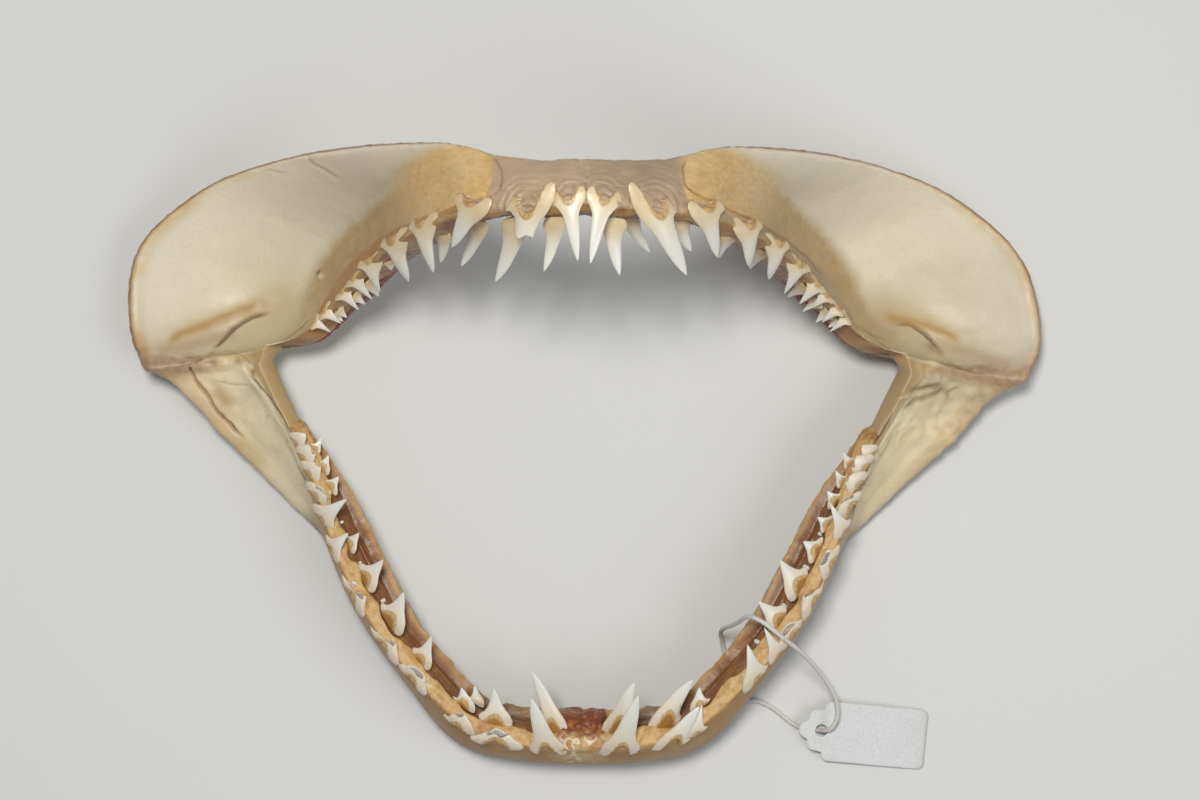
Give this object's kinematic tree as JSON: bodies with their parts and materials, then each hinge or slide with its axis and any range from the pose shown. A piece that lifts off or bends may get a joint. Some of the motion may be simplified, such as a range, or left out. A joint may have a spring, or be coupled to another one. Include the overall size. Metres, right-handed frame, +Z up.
{
  "type": "mako shark jaw",
  "caption": "Dried, cleaned jaw of a mako shark spread open on its back, with toothed upper and lower bars, broad hinge wings and a blank string tag.",
  "frame": {"origin": "on the floor, below the middle of the whole piece", "axes": "+X towards the animal's own left side, which is the side with the tag; +Y from the front of the lower jaw towards the upper jaw; +Z up from the floor"},
  "size_m": [0.351, 0.2317, 0.1379],
  "materials": {
    "cartilage": "dried cream cartilage with tan edges, satin",
    "dried_tissue": "dried brown connective tissue, slightly glossy",
    "teeth": "smooth white enamel crowns on dull cream roots in dried gum",
    "card": "plain matte white card",
    "cotton": "white twisted cotton string"
  },
  "bodies": {
    "root": {"upper_jaw_right": "cartilage", "upper_jaw_left": "cartilage", "lower_jaw_right": "cartilage", "lower_jaw_left": "cartilage", "upper_symphysis": "dried_tissue", "lower_symphysis": "dried_tissue", "hinge_right": "dried_tissue", "hinge_left": "dried_tissue", "upper_teeth_right": "teeth", "upper_teeth_left": "teeth", "lower_teeth_right": "teeth", "lower_teeth_left": "teeth", "tag": "card", "tag_string": "cotton", "tag_knot": "cotton"}
  },
  "joints": []
}
